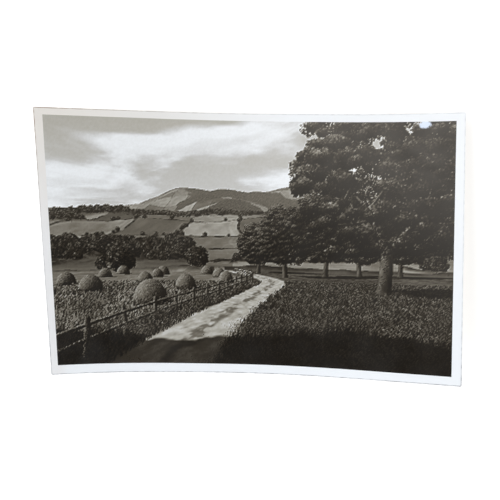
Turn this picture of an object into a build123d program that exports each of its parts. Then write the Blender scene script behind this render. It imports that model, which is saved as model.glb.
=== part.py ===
from build123d import *
from math import ceil, copysign, cos, radians, sin
import os

os.makedirs("parts", exist_ok=True)

# A photographic postcard, in millimetres, lying face up. X runs along its long side, Y towards the top of
# its picture and Z up. The origin is under the middle of the card, where it rests.

# The card as it was cut, while flat
card_length = 140.0
card_height = 90.0
corner_radius = 0.5

# Its layers, from the back up
paper_thickness = 0.25
baryta_thickness = 0.03
gelatin_thickness = 0.02

# The white border around the picture, which was printed a little out of square
border_left = 2.5
border_right = 3.0
border_top = 2.5
border_bottom = 3.2
picture_tilt = -0.2

# The curl: a narrow strip lies flat, an arc rises from each side of it, and beyond the arcs the card is
# straight again. The strip leans away from the short side, so that the top left and the bottom right corner
# stand highest.
curl_lean = 25.0
curl_radius = 195.0
arc_length = 44.0
flat_strip_width = 12.0

# The ink of the back, soaked into the paper. The back is read from below, so its right half has X below 0.
# Feet, heads and margins are measured from the card's edges, and the address gap from the divider.
ink_depth = 0.02
rule_width = 0.4
divider_foot = 9.0
divider_head = 17.0
address_rules = 4
address_spacing = 9.5
address_foot = 10.0
address_margin = 7.0
address_gap = 9.0
stamp_length = 20.0
stamp_height = 24.0
stamp_margin = 6.0

# How the shapes are drawn: the spare sheet that the outline cuts away, the width of the flats that stand
# for the arcs, and the spacing of the points that a cut edge is drawn through
trim = 4.0
curl_step = 4.0
edge_step = 10.0

baryta_level = paper_thickness + baryta_thickness
card_thickness = baryta_level + gelatin_thickness
lean = -radians(curl_lean)

# How far the card's corners lie from the middle, across the curl and along it
reach_across = card_length / 2 * cos(lean) + card_height / 2 * abs(sin(lean))
reach_along = card_length / 2 * abs(sin(lean)) + card_height / 2 * cos(lean)

# The section across the curl
curl_section = Plane(origin=(0, 0, 0), x_dir=(cos(lean), sin(lean), 0), z_dir=(sin(lean), -cos(lean), 0))
arc_bend = arc_length / curl_radius
arc_steps = ceil(arc_length / curl_step)
tip_length = max(reach_across - flat_strip_width / 2 - arc_length, 0) + trim


def curl_line(level):
    """The line of the curled sheet at one level above its back, from its left end to its right end.

    The arcs are narrow flats that bend at the same lines on every level, so that thin layers lie face to
    face.
    """
    radius = curl_radius - level
    bends = [arc_bend * step / arc_steps for step in range(arc_steps + 1)]
    rise = [(flat_strip_width / 2 + radius * sin(bend), curl_radius - radius * cos(bend)) for bend in bends]
    arc_across, arc_up = rise[-1]
    rise.append((arc_across + tip_length * cos(arc_bend), arc_up + tip_length * sin(arc_bend)))
    return [(-across, up) for across, up in reversed(rise)] + rise


def curled_sheet(low, high):
    """The section of the curled sheet between two levels above its back."""
    with BuildSketch(curl_section) as section:
        with BuildLine():
            Polyline(*curl_line(low), *reversed(curl_line(high)), close=True)
        make_face()
    return section.sketch


def on_curl(x, y):
    """Where a point of the flat card lies in plan once the card has curled."""
    across = x * cos(lean) + y * sin(lean)
    along = y * cos(lean) - x * sin(lean)
    middle_radius = curl_radius - card_thickness / 2
    flat_part = min(abs(across), flat_strip_width / 2)
    arc_part = min(abs(across) - flat_part, middle_radius * arc_bend)
    tip_part = abs(across) - flat_part - arc_part
    run = flat_part + middle_radius * sin(arc_part / middle_radius) + tip_part * cos(arc_bend)
    across = copysign(run, across)
    return (across * cos(lean) - along * sin(lean), across * sin(lean) + along * cos(lean))


def outline(length, height, center_x=0, center_y=0, tilt=0, radius=0):
    """The plan of a rectangle that was drawn on the flat card, with sharp or round corners."""
    turn = radians(tilt)

    def placed(x, y):
        return on_curl(center_x + x * cos(turn) - y * sin(turn), center_y + x * sin(turn) + y * cos(turn))

    half_x = length / 2
    half_y = height / 2
    sides = [
        ((-half_x + radius, -half_y), (half_x - radius, -half_y)),
        ((half_x, -half_y + radius), (half_x, half_y - radius)),
        ((half_x - radius, half_y), (-half_x + radius, half_y)),
        ((-half_x, half_y - radius), (-half_x, -half_y + radius)),
    ]
    inset = radius * (1 - cos(radians(45)))
    corners = [(half_x, -half_y), (half_x, half_y), (-half_x, half_y), (-half_x, -half_y)]
    with BuildSketch(Plane.XY.offset(-trim)) as plan:
        with BuildLine():
            for (start, end), corner, (following, _) in zip(sides, corners, sides[1:] + sides[:1]):
                steps = ceil((abs(end[0] - start[0]) + abs(end[1] - start[1])) / edge_step)
                shares = [step / steps for step in range(steps + 1)]
                Spline([
                    placed(start[0] + (end[0] - start[0]) * share, start[1] + (end[1] - start[1]) * share)
                    for share in shares
                ])
                if radius:
                    bend = (corner[0] - copysign(inset, corner[0]), corner[1] - copysign(inset, corner[1]))
                    ThreePointArc(placed(*end), placed(*bend), placed(*following))
        make_face()
    return plan.sketch


# What stands above and below the sheet when an outline cuts it
cut_height = curl_radius + 2 * trim

card_plan = outline(card_length, card_height, radius=corner_radius)
picture_plan = outline(
    card_length - border_left - border_right,
    card_height - border_top - border_bottom,
    center_x=(border_left - border_right) / 2,
    center_y=(border_bottom - border_top) / 2,
    tilt=picture_tilt,
)

# The silver picture, in the gelatin
with BuildPart() as silver_image:
    extrude(curled_sheet(baryta_level, card_thickness), amount=reach_along + trim, both=True)
    extrude(picture_plan, amount=cut_height, mode=Mode.INTERSECT)
silver_image.part.label = "silver_image"
export_step(silver_image.part, "parts/silver_image.step")

# The clear gelatin of the border, around the picture
with BuildPart() as gelatin_border:
    extrude(curled_sheet(baryta_level, card_thickness), amount=reach_along + trim, both=True)
    extrude(card_plan, amount=cut_height, mode=Mode.INTERSECT)
    extrude(picture_plan, amount=cut_height, mode=Mode.SUBTRACT)
gelatin_border.part.label = "gelatin_border"
export_step(gelatin_border.part, "parts/gelatin_border.step")

# The white mineral coat that the gelatin lies on
with BuildPart() as baryta_coat:
    extrude(curled_sheet(paper_thickness, baryta_level), amount=reach_along + trim, both=True)
    extrude(card_plan, amount=cut_height, mode=Mode.INTERSECT)
baryta_coat.part.label = "baryta_coat"
export_step(baryta_coat.part, "parts/baryta_coat.step")

# The line down the middle of the back
with BuildPart() as divider_rule:
    extrude(curled_sheet(0, ink_depth), amount=reach_along + trim, both=True)
    extrude(
        outline(
            rule_width,
            card_height - divider_foot - divider_head,
            center_y=(divider_foot - divider_head) / 2,
        ),
        amount=cut_height,
        mode=Mode.INTERSECT,
    )
divider_rule.part.label = "divider_rule"
export_step(divider_rule.part, "parts/divider_rule.step")

# The address lines, from the lowest up
address_length = card_length / 2 - address_margin - address_gap
ink = [divider_rule]
for number in range(address_rules):
    with BuildPart() as address_rule:
        extrude(curled_sheet(0, ink_depth), amount=reach_along + trim, both=True)
        extrude(
            outline(
                address_length,
                rule_width,
                center_x=-card_length / 2 + address_margin + address_length / 2,
                center_y=-card_height / 2 + address_foot + number * address_spacing,
            ),
            amount=cut_height,
            mode=Mode.INTERSECT,
        )
    address_rule.part.label = f"address_rule_{number + 1}"
    export_step(address_rule.part, f"parts/{address_rule.part.label}.step")
    ink.append(address_rule)

# The frame for the stamp
stamp_x = -card_length / 2 + stamp_margin + stamp_length / 2
stamp_y = card_height / 2 - stamp_margin - stamp_height / 2
with BuildPart() as stamp_frame:
    extrude(curled_sheet(0, ink_depth), amount=reach_along + trim, both=True)
    extrude(
        outline(stamp_length, stamp_height, stamp_x, stamp_y),
        amount=cut_height,
        mode=Mode.INTERSECT,
    )
    extrude(
        outline(stamp_length - 2 * rule_width, stamp_height - 2 * rule_width, stamp_x, stamp_y),
        amount=cut_height,
        mode=Mode.SUBTRACT,
    )
stamp_frame.part.label = "stamp_frame"
export_step(stamp_frame.part, "parts/stamp_frame.step")
ink.append(stamp_frame)

# The card itself, which the ink has soaked into
with BuildPart() as paper_base:
    extrude(curled_sheet(0, paper_thickness), amount=reach_along + trim, both=True)
    extrude(card_plan, amount=cut_height, mode=Mode.INTERSECT)
    for print_mark in ink:
        add(print_mark.part, mode=Mode.SUBTRACT)
paper_base.part.label = "paper_base"
export_step(paper_base.part, "parts/paper_base.step")
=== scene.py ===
"""A curled photographic postcard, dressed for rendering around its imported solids.

The card lies face up: a silver picture in a white border, on coated card with a ruled address side. Each
layer is shaped flat, in metres, and then curled as the solids are. The picture is a made-up country view,
worked out from formulas and seeded noise.
"""
import logging
import math
from abc import ABC, abstractmethod
from dataclasses import dataclass, field
from enum import IntEnum, auto

import bmesh
import bpy
import numpy as np
from mathutils import Matrix, Vector


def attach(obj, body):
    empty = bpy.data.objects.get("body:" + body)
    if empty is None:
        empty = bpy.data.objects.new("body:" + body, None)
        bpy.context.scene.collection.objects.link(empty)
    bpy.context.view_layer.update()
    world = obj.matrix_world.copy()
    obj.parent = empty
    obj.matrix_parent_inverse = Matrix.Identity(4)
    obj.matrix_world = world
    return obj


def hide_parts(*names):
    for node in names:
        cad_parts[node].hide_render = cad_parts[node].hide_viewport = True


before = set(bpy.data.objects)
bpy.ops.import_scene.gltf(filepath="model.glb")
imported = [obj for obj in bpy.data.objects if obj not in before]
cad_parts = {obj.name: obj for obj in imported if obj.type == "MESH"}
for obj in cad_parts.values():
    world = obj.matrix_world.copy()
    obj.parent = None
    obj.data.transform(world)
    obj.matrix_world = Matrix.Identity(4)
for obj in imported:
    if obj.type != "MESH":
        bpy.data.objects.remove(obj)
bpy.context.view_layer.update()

LOG = logging.getLogger("postcard")
MM = 0.001
FLAT_PLACE = "flat_place"
PRINT_TONE = "print_tone"
# The turn from one limb or tree to the next, which never falls into rows
GOLDEN_TURN = 2.4
# Large odd numbers that scatter whole numbers, and the bits that are kept of them
SCATTER = (374761393, 668265263, 974634777, 1274126177)
LOW_BITS, LAST_BITS = 0xFFFFFFFF, 0xFFFF

Array = np.ndarray
Chance = np.random.Generator
Piece = bpy.types.Object
Socket = bpy.types.NodeSocket
Tree = bpy.types.NodeTree
Pair = tuple[float, float]
Point = tuple[float, float, float]
Stops = tuple[tuple[float, str], ...]


def linear(colour: str) -> tuple[float, float, float, float]:
    """Turn an sRGB hex colour to linear light.

    Args:
        colour: six hex digits after a hash mark.

    Returns:
        Red, green, blue and a full alpha.
    """
    shares = [int(colour[at:at + 2], 16) / 255 for at in (1, 3, 5)]
    light = [share / 12.92 if share <= 0.04045 else ((share + 0.055) / 1.055) ** 2.4 for share in shares]
    return (*light, 1.0)


def ramp(value: Array, low: float, high: float) -> Array:
    """Rise smoothly from 0 where the value is low to 1 where it is high."""
    share = np.clip((value - low) / (high - low), 0, 1)
    return share * share * (3 - 2 * share)


def unit(vectors: Array) -> Array:
    """Scale vectors to length 1."""
    return vectors / np.maximum(np.linalg.norm(vectors, axis=-1, keepdims=True), 1e-9)


class Pattern(IntEnum):
    """Each pattern of noise in the picture, so that no two of them match."""

    SWELLS = auto()
    LOW_HILLS = auto()
    HIGH_HILLS = auto()
    FIELD_BENDS = auto()
    FIELD_DRIFT = auto()
    FIELD_TONES = auto()
    HEDGE_GAPS = auto()
    WOODS = auto()
    CANOPY = auto()
    LEAF_LUMPS = auto()
    BLADES = auto()
    TUFTS = auto()
    SWATHS = auto()
    FAR_FIELDS = auto()
    LANE_EDGE = auto()
    LANE_RUTS = auto()
    GRAVEL = auto()
    FINE_SHADE = auto()
    BROAD_SHADE = auto()
    CLOUD_BENDS = auto()
    CLOUDS = auto()
    BARK = auto()
    CROWN_LOBES = auto()
    SILVER_GRAIN = auto()


def even_noise(across: Array, along: Array, salt: int) -> Array:
    """Scatter whole numbers over 0 to 1, each pair always to the same share.

    Args:
        across: whole numbers.
        along: whole numbers the other way.
        salt: which scatter to give.

    Returns:
        The share of each pair.
    """
    mixed = across.astype(np.int64) * SCATTER[0] + along.astype(np.int64) * SCATTER[1] + salt * SCATTER[2]
    mixed &= LOW_BITS
    mixed = ((mixed ^ (mixed >> 13)) * SCATTER[3]) & LOW_BITS
    return ((mixed ^ (mixed >> 16)) & LAST_BITS) / LAST_BITS


def smooth_noise(across: Array, along: Array, salt: int) -> Array:
    """Roll from the share of one whole number to that of the next.

    Args:
        across: places in units of the noise.
        along: places the other way.
        salt: which noise to give.

    Returns:
        Shares from 0 to 1.
    """
    left, low = np.floor(across), np.floor(along)
    right_share, high_share = ramp(across - left, 0, 1), ramp(along - low, 0, 1)

    def row(at: Array) -> Array:
        """Roll along one row of whole numbers."""
        first, second = even_noise(left, at, salt), even_noise(left + 1, at, salt)
        return first * (1 - right_share) + second * right_share

    return row(low) * (1 - high_share) + row(low + 1) * high_share


def fractal(across: Array, along: Array, pattern: Pattern, octaves: int = 3) -> Array:
    """Give noise with finer and finer detail on it.

    Args:
        across: places in units of the broadest features.
        along: places the other way, in the same or other units.
        pattern: which pattern to give.
        octaves: how many times the detail halves in size.

    Returns:
        Shares from 0 to 1, around a half.
    """
    total, weight = np.zeros(np.broadcast(across, along).shape), 0.0
    for octave in range(octaves):
        finer = 2 ** octave
        total += smooth_noise(across * finer, along * finer, pattern * 16 + octave) / finer
        weight += 1 / finer
    return total / weight


def patches(x: Array, z: Array, size: Pair, pattern: Pattern) -> Array:
    """Give noise around 0 on the ground, whose features are so wide and so deep."""
    return fractal(x / size[0], z / size[1], pattern) - 0.5


@dataclass
class Dabs:
    """Small round touches of tone that leaves, bark, hay and grass are drawn with.

    Attributes:
        place: where each lies in the view, in metres to the right, up and ahead.
        facing: the unit vector that it faces along.
        albedo: the share of light that it gives back.
        radius: its radius in metres.
    """

    place: Array
    facing: Array
    albedo: Array
    radius: Array

    @classmethod
    def joined(cls, parts: list["Dabs"]) -> "Dabs":
        """Put several lots of dabs together."""
        names = ("place", "facing", "albedo", "radius")
        return cls(*(np.concatenate([getattr(part, name) for part in parts]) for name in names))

    @classmethod
    def rod(cls, rng: Chance, start: Array, end: Array, radii: Pair, albedo: float,
            touch: float) -> "Dabs":
        """Cover a straight tapering rod, such as a limb or a rail.

        Args:
            rng: the source of chance.
            start: the middle of its thick end.
            end: the middle of its thin end.
            radii: its radius at both ends.
            albedo: its mean albedo.
            touch: how far apart the dabs are.

        Returns:
            Dabs all over its skin.
        """
        coverage, fewest, dab, askew = 5, 6, 0.8, (0.31, 0.2, 0.93)
        furrows_a_radian, furrows_a_metre = 2.5, 1.6
        length = float(np.linalg.norm(end - start))
        count = max(int(coverage * length * max(radii[0], touch) / touch ** 2), fewest)
        share = rng.random(count)
        turn = rng.uniform(0, 2 * math.pi, count)
        axis = unit(end - start)
        side = unit(np.cross(axis, askew))
        facing = np.outer(np.cos(turn), side) + np.outer(np.sin(turn), np.cross(axis, side))
        radius = radii[0] + (radii[1] - radii[0]) * share
        place = start + np.outer(share, end - start) + facing * radius[:, None]
        along = share * length * furrows_a_metre
        furrows = 0.6 + 0.8 * smooth_noise(turn * furrows_a_radian, along, Pattern.BARK)
        return cls(place, facing, albedo * furrows, np.full(count, dab * touch))

    def moved(self, foot: Point, scale: float, turn: float) -> "Dabs":
        """Stand a copy somewhere else.

        Args:
            foot: where its origin comes to stand.
            scale: how many times larger it is.
            turn: how far it is turned about its upright.

        Returns:
            The copy.
        """
        cosine, sine = math.cos(turn), math.sin(turn)
        spin = np.array([[cosine, 0, -sine], [0, 1, 0], [sine, 0, cosine]])
        return Dabs(self.place @ spin * scale + foot, self.facing @ spin, self.albedo, self.radius * scale)

    def thinned(self, step: int) -> "Dabs":
        """Keep one dab in so many, each as much larger."""
        kept = slice(None, None, step)
        return Dabs(self.place[kept], self.facing[kept], self.albedo[kept], self.radius[kept] * step ** 0.5)


@dataclass(frozen=True)
class BroadTree:
    """A broad-crowned tree: a stem that forks into limbs, with its leaves in clumps. Sizes are in metres.

    Attributes:
        height: from the ground to the top of the crown.
        spread: the radius of the crown.
        leaves: how many touches its leaves are drawn with.
        seed: which tree of its kind it is.
        root: how deep its stem starts.
        fork: the place of its fork to the right and up, as shares of the tree's height.
        skirt: the height of its lowest leaves, as a share of the tree's.
        girth: the radius of its stem, as a share of the tree's height.
        limbs: how many limbs leave the fork.
        limb_length: the length of a limb, as a share of the tree's height.
        branching: how many times each limb divides.
        twigs: how many parts it divides into.
        loose_clumps: how many clumps fill the crown besides those on the twigs.
        clump: the radius of a clump.
        leaf: the smallest and the largest radius of a touch of leaves.
        leaf_albedo: the albedo of its darkest and its lightest leaves.
        bark: the albedo of its bark.
        bark_touch: how far apart the touches of its bark are.
    """

    height: float
    spread: float
    leaves: int
    seed: int
    root: float = 0.3
    fork: Pair = (0.02, 0.26)
    skirt: float = 0.15
    girth: float = 0.032
    limbs: int = 7
    limb_length: float = 0.2
    branching: int = 2
    twigs: int = 3
    loose_clumps: int = 420
    clump: float = 0.68
    leaf: Pair = (0.035, 0.085)
    leaf_albedo: Pair = (0.06, 0.19)
    bark: float = 0.12
    bark_touch: float = 0.05

    def grown(self) -> Dabs:
        """Grow the tree with its foot at the origin.

        Returns:
            The dabs of its bark and leaves.
        """
        rng = np.random.default_rng(self.seed)
        foot = np.array([0.0, -self.root, 0.0])
        fork = np.array([*self.fork, 0.0]) * self.height
        girth = self.girth * self.height
        taper, flare, flare_height, limb_girth = 0.7, 1.6, 0.15, 0.4
        sway, steepness, on_stem, in_crown = 0.3, (0.2, 1.6), (0.75, 1.0), (0.6, 1.0)
        parts = [
            Dabs.rod(rng, foot, fork, (girth, taper * girth), self.bark, self.bark_touch),
            Dabs.rod(rng, foot, flare_height * fork, (flare * girth, girth), self.bark, self.bark_touch),
        ]
        tips: list[Array] = []
        for number in range(self.limbs):
            turn = GOLDEN_TURN * number + rng.uniform(-sway, sway)
            heading = unit(np.array([math.cos(turn), rng.uniform(*steepness), math.sin(turn)]))
            start = fork * rng.uniform(*on_stem)
            length = self.limb_length * self.height
            self._branch(rng, parts, tips, start, heading, length, limb_girth * girth, self.branching)
        middle = np.array([0.0, (1 + self.skirt) / 2, 0.0]) * self.height
        reach = np.array([self.spread, (1 - self.skirt) / 2 * self.height, self.spread])
        around = unit(rng.normal(size=(self.loose_clumps, 3)))
        around = around * rng.uniform(*in_crown, (self.loose_clumps, 1))
        outward = np.concatenate([(np.array(tips) - middle) / reach, around])
        lobe_x, lobe_z = outward[:, :1] * 2 + 9, (outward[:, 1:2] + outward[:, 2:]) * 2
        lobes = 0.8 + 0.28 * smooth_noise(lobe_x, lobe_z, Pattern.CROWN_LOBES)
        outward *= lobes / np.maximum(np.linalg.norm(outward, axis=1, keepdims=True), lobes)
        per_clump = max(self.leaves // len(outward), 10)
        parts += [self._clump(rng, middle + out * reach, middle, reach, per_clump) for out in outward]
        return Dabs.joined(parts)

    def _branch(self, rng: Chance, parts: list[Dabs], tips: list[Array], start: Array, heading: Array,
                length: float, thick: float, order: int) -> None:
        """Grow a limb and what divides from it.

        Args:
            rng: the source of chance.
            parts: takes the dabs of the bark.
            tips: takes the ends of the twigs.
            start: where the limb leaves what carries it.
            heading: the unit vector that it grows along.
            length: its length.
            thick: its radius at the start.
            order: how many times it still divides.
        """
        lift, taper, thinner, swerve, shorter = 0.05, 0.65, 0.6, (0.6, 0.4, 0.6), (0.6, 0.85)
        end = start + heading * length + (0.0, lift * length, 0.0)
        touch = max(0.4 * thick, 0.6 * self.bark_touch)
        parts.append(Dabs.rod(rng, start, end, (thick, taper * thick), self.bark, touch))
        if order == 0:
            tips.append(end)
            return
        for _ in range(self.twigs):
            onward = unit(heading + rng.normal(size=3) * swerve)
            twig = length * rng.uniform(*shorter)
            self._branch(rng, parts, tips, end, onward, twig, thinner * thick, order - 1)

    def _clump(self, rng: Chance, at: Array, middle: Array, reach: Array, count: int) -> Dabs:
        """Fill one clump with leaves, darker below and towards the inside of the crown.

        Args:
            rng: the source of chance.
            at: the middle of the clump.
            middle: the middle of the crown.
            reach: the crown's half sizes.
            count: how many leaves the clump has.

        Returns:
            The dabs of its leaves.
        """
        sizes, upward, flattened, fullness = (0.55, 1.35), (0.0, 0.25, 0.0), (1.15, 0.85, 1.15), 0.45
        size = self.clump * rng.uniform(*sizes)
        outward = unit(rng.normal(size=(count, 3)) + upward)
        place = at + outward * size * rng.random((count, 1)) ** fullness * flattened
        in_crown = (place - middle) / reach
        facing = unit(0.6 * outward + 0.6 * unit(in_crown) + 0.3 * rng.normal(size=(count, 3)))
        depth = np.clip(np.linalg.norm(in_crown, axis=1), 0, 1.05)
        lit_from_above = np.clip(0.5 + 0.75 * outward[:, 1], 0.15, 1.0)
        albedo = rng.uniform(*self.leaf_albedo, count) * (0.2 + 0.8 * depth ** 3) * lit_from_above
        return Dabs(place, facing, albedo, rng.uniform(*self.leaf, count))


@dataclass(frozen=True)
class HillRange:
    """A range of hills across the view, in metres.

    Attributes:
        pattern: the noise that shapes it.
        height: the height of its tops.
        start: how far away it starts to rise.
        full: how far away it has its full height.
        width: how wide its hills are.
        offset: how far the noise is moved to the side, in hills.
        depth: how many times deeper than wide its hills are.
        foot: the height of its valleys, as a share of its tops'.
        swing: how far its tops stand above its valleys, as a share.
        steepness: how much its tops narrow upwards.
    """

    pattern: Pattern
    height: float
    start: float
    full: float
    width: float
    offset: float
    depth: float = 1.2
    foot: float = 0.08
    swing: float = 1.25
    steepness: float = 1.6

    def rise(self, x: Array, z: Array) -> Array:
        """Give the height of the range.

        Args:
            x: places to the right.
            z: places ahead.

        Returns:
            The height at each place.
        """
        tops = fractal(x / self.width + self.offset, z / (self.depth * self.width), self.pattern)
        shape = self.foot + self.swing * tops ** self.steepness
        return self.height * ramp(z, self.start, self.full) * shape


@dataclass(frozen=True)
class Land:
    """The ground of the view, in metres: x to the right and z ahead of the viewer.

    Attributes:
        swell: the height of the meadow's swells.
        swell_width: how far apart the swells are.
        swell_reach: how far away they start and have their full height.
        dip: how far the ground falls beyond the meadow.
        dip_reach: how far away the fall starts and ends.
        ranges: the hills behind it.
        field_size: how wide and how deep a field on the hills is.
        field_bend: how far the sides of the fields bend, in fields, and over which distance.
        field_drift: the same for their ends.
        field_albedo: the albedo of the darkest fields, and how much lighter the lightest are.
        hedge_height: the height of the hedges between the fields.
        hedge_run: how long the stretches of hedge and the gaps between them are.
        hedge_share: the noise at which a gap ends and a hedge is full.
        hedge_side: how far from a field's edge its hedge ends and is full.
        hedge_reach: how far away the hedges start and are full.
        wood_height: the height of the woods.
        wood_width: how wide a wood is.
        wood_share: the noise at which a wood starts and is full.
        wood_reach: how far away the woods start and are full.
        crown: how wide and how deep a crown in the woods is.
        lane_width: the width of the lane.
        lane_foot: where the lane starts, to the right of the viewer.
        lane_swings: for each swing of the lane how far it goes, and where it starts and ends.
        verge: the distance from the middle of the lane to its fence.
    """

    swell: float = 1.4
    swell_width: float = 38.0
    swell_reach: Pair = (5.0, 60.0)
    dip: float = 3.5
    dip_reach: Pair = (60.0, 180.0)
    ranges: tuple[HillRange, ...] = (
        HillRange(Pattern.LOW_HILLS, height=105.0, start=190.0, full=800.0, width=420.0, offset=1.2),
        HillRange(Pattern.HIGH_HILLS, height=560.0, start=750.0, full=2600.0, width=1300.0, offset=0.35),
    )
    field_size: Pair = (95.0, 150.0)
    field_bend: Pair = (0.27, 130.0)
    field_drift: Pair = (0.4, 170.0)
    field_albedo: Pair = (0.14, 0.34)
    hedge_height: float = 2.4
    hedge_run: float = 40.0
    hedge_share: Pair = (0.36, 0.42)
    hedge_side: Pair = (3.2, 1.0)
    hedge_reach: Pair = (100.0, 140.0)
    wood_height: float = 7.0
    wood_width: float = 260.0
    wood_share: Pair = (0.43, 0.46)
    wood_reach: Pair = (200.0, 330.0)
    crown: Pair = (7.0, 11.0)
    lane_width: float = 3.0
    lane_foot: float = -2.6
    lane_swings: tuple[Point, Point] = ((5.5, 6.0, 55.0), (-15.0, 45.0, 150.0))
    verge: float = 2.5

    def lane(self, z: Array) -> Array:
        """Give the middle of the lane, which swings to the right and then away to the left."""
        (right, *right_reach), (left, *left_reach) = self.lane_swings
        return self.lane_foot + right * ramp(z, *right_reach) + left * ramp(z, *left_reach)

    def cover(self, x: Array, z: Array) -> tuple[Array, Array, Array]:
        """Find what grows on the hills.

        Args:
            x: places to the right.
            z: places ahead.

        Returns:
            The share of hedge, the share of wood and the albedo of the field at each place.
        """
        width, depth = self.field_size
        (bend, bend_run), (drift, drift_run) = self.field_bend, self.field_drift
        bent_x = x / width + bend * fractal(x / bend_run, z / bend_run, Pattern.FIELD_BENDS, 2)
        bent_z = z / depth + drift * fractal(x / drift_run, z / drift_run, Pattern.FIELD_DRIFT, 2)
        to_side = np.abs(bent_x - np.round(bent_x)) * width
        to_end = np.abs(bent_z - np.round(bent_z)) * depth
        darkest, lighter = self.field_albedo
        tone = darkest + lighter * even_noise(np.floor(bent_x), np.floor(bent_z), Pattern.FIELD_TONES)
        gaps = fractal(x / self.hedge_run, z / self.hedge_run, Pattern.HEDGE_GAPS, 2)
        hedge_end, hedge_full = self.hedge_side
        hedge = ramp(-np.minimum(to_side, to_end), -hedge_end, -hedge_full)
        hedge = hedge * ramp(gaps, *self.hedge_share) * ramp(z, *self.hedge_reach)
        wooded = fractal(x / self.wood_width, z / self.wood_width, Pattern.WOODS)
        return hedge, ramp(wooded, *self.wood_share) * ramp(z, *self.wood_reach), tone

    def height(self, x: Array, z: Array) -> Array:
        """Give the height of the ground with its hedges and woods.

        Args:
            x: places to the right.
            z: places ahead.

        Returns:
            The height at each place.
        """
        hedge, wood, _ = self.cover(x, z)
        canopy = 0.5 + 0.9 * fractal(x / self.crown[0], z / self.crown[1], Pattern.CANOPY, 2)
        swells = patches(x, z, (self.swell_width, self.swell_width), Pattern.SWELLS)
        ground = self.swell * swells * ramp(z, *self.swell_reach) - self.dip * ramp(z, *self.dip_reach)
        ground = ground + sum(hills.rise(x, z) for hills in self.ranges)
        return ground + canopy * (hedge * self.hedge_height + wood * self.wood_height)

    def stand(self, x: float, z: float) -> float:
        """Give the height of the ground at one place."""
        return float(self.height(np.array([x]), np.array([z]))[0])


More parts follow.
